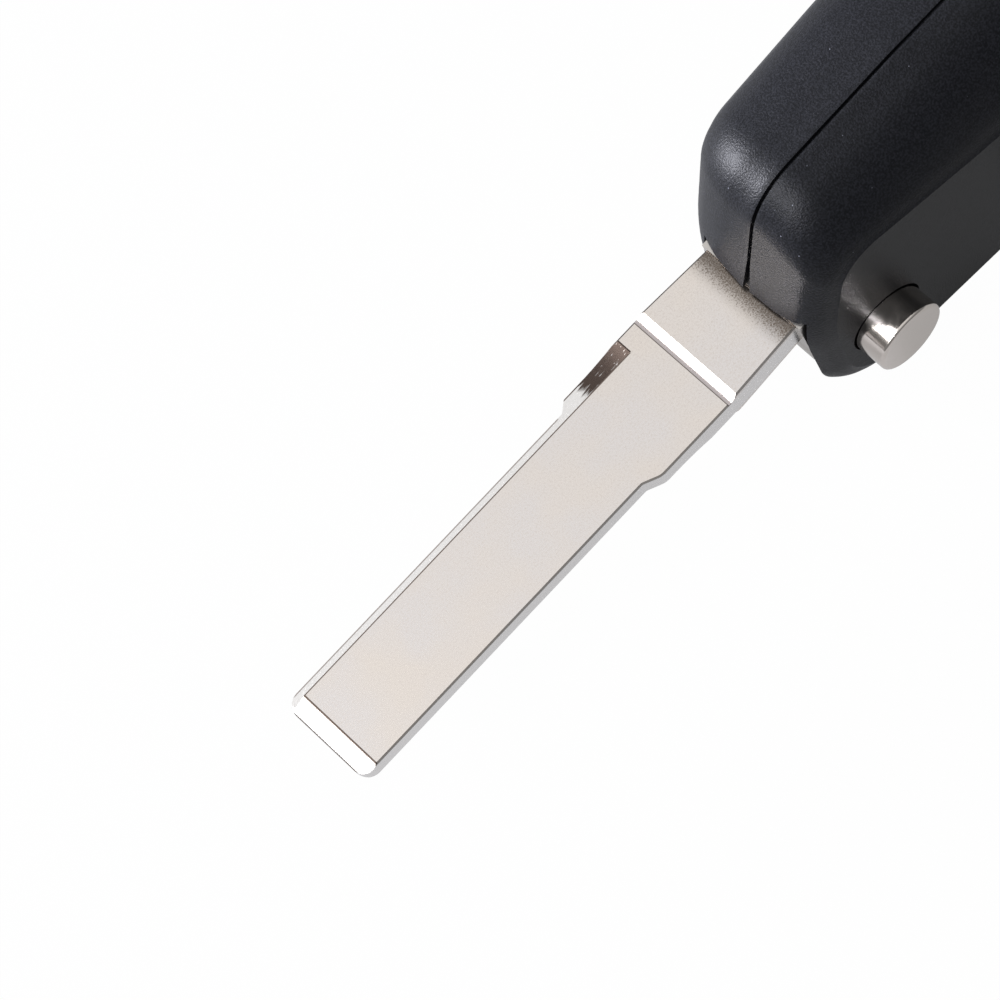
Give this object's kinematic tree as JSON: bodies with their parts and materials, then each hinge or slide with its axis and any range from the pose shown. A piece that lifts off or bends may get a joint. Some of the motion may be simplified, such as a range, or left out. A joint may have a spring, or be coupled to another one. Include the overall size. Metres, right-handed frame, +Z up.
{
  "type": "car remote key",
  "caption": "Flip-blade car remote key with its steel blade swung out, a release button on the pivot, remote keys and a key-ring eye.",
  "frame": {"origin": "on the plane that the key stands on, straight below the blade's pivot, midway on the seam of the case", "axes": "+X from the blade's tip to the tail, -Y out of the front face along the pivot, +Z up from the slot edge"},
  "size_m": [0.1133, 0.0202, 0.0282],
  "materials": {
    "case_plastic": "fine spark-eroded grain",
    "blade_nickel": "satin nickel plate",
    "carrier_zinc": "nickel-plated zinc die casting",
    "button_nickel": "bright nickel plate",
    "spring_steel": "bare spring steel",
    "key_plastic": "soft-touch moulding",
    "mat_silicone": "silicone",
    "board_laminate": "solder mask",
    "chip_plastic": "moulded epoxy",
    "can_metal": "drawn nickel-plated steel",
    "coil_copper": "enamelled copper winding",
    "contact_metal": "nickel-plated spring bronze",
    "capsule_glass": "clear tube over a dark ferrite core",
    "screw_metal": "black zinc",
    "switch_plastic": "moulded"
  },
  "bodies": {
    "case": {"front_cover": "case_plastic", "back_cover": "case_plastic", "key_mat": "mat_silicone", "circuit_board": "board_laminate", "control_chip": "chip_plastic", "crystal": "can_metal", "coil_antenna": "coil_copper", "coin_cell": "can_metal", "battery_contact_minus": "contact_metal", "battery_contact_plus": "contact_metal", "transponder_capsule": "capsule_glass", "case_screw": "screw_metal", "tact_switch_lock": "switch_plastic", "tact_switch_unlock": "switch_plastic", "tact_switch_boot": "switch_plastic"},
    "blade": {"blade": "blade_nickel", "blade_carrier": "carrier_zinc", "roll_pin": "spring_steel", "flip_spring": "spring_steel"},
    "release_button": {"release_button": "button_nickel"},
    "lock_key": {"lock_key": "key_plastic"},
    "unlock_key": {"unlock_key": "key_plastic"},
    "boot_key": {"boot_key": "key_plastic"}
  },
  "joints": [
    {"name": "blade_flip", "type": "hinge", "parent": "case", "child": "blade", "pos_m": [0, 0, 0.0084], "axis": [0, -1, 0], "range_deg": [0, 180], "stiffness_Nm_per_rad": 0.012, "springref_deg": -34.38},
    {"name": "release_press", "type": "slide", "parent": "blade", "child": "release_button", "axis": [0, 1, 0], "range_m": [0, 0.0022], "stiffness_N_per_m": 800, "springref_m": -0.002, "deforming": ["flip_spring"]},
    {"name": "lock_press", "type": "slide", "parent": "case", "child": "lock_key", "axis": [0, 1, 0], "range_m": [0, 0.0005], "stiffness_N_per_m": 1500, "springref_m": -0.0003},
    {"name": "unlock_press", "type": "slide", "parent": "case", "child": "unlock_key", "axis": [0, 1, 0], "range_m": [0, 0.0005], "stiffness_N_per_m": 1500, "springref_m": -0.0003},
    {"name": "boot_press", "type": "slide", "parent": "case", "child": "boot_key", "axis": [0, 1, 0], "range_m": [0, 0.0005], "stiffness_N_per_m": 1500, "springref_m": -0.0003}
  ]
}
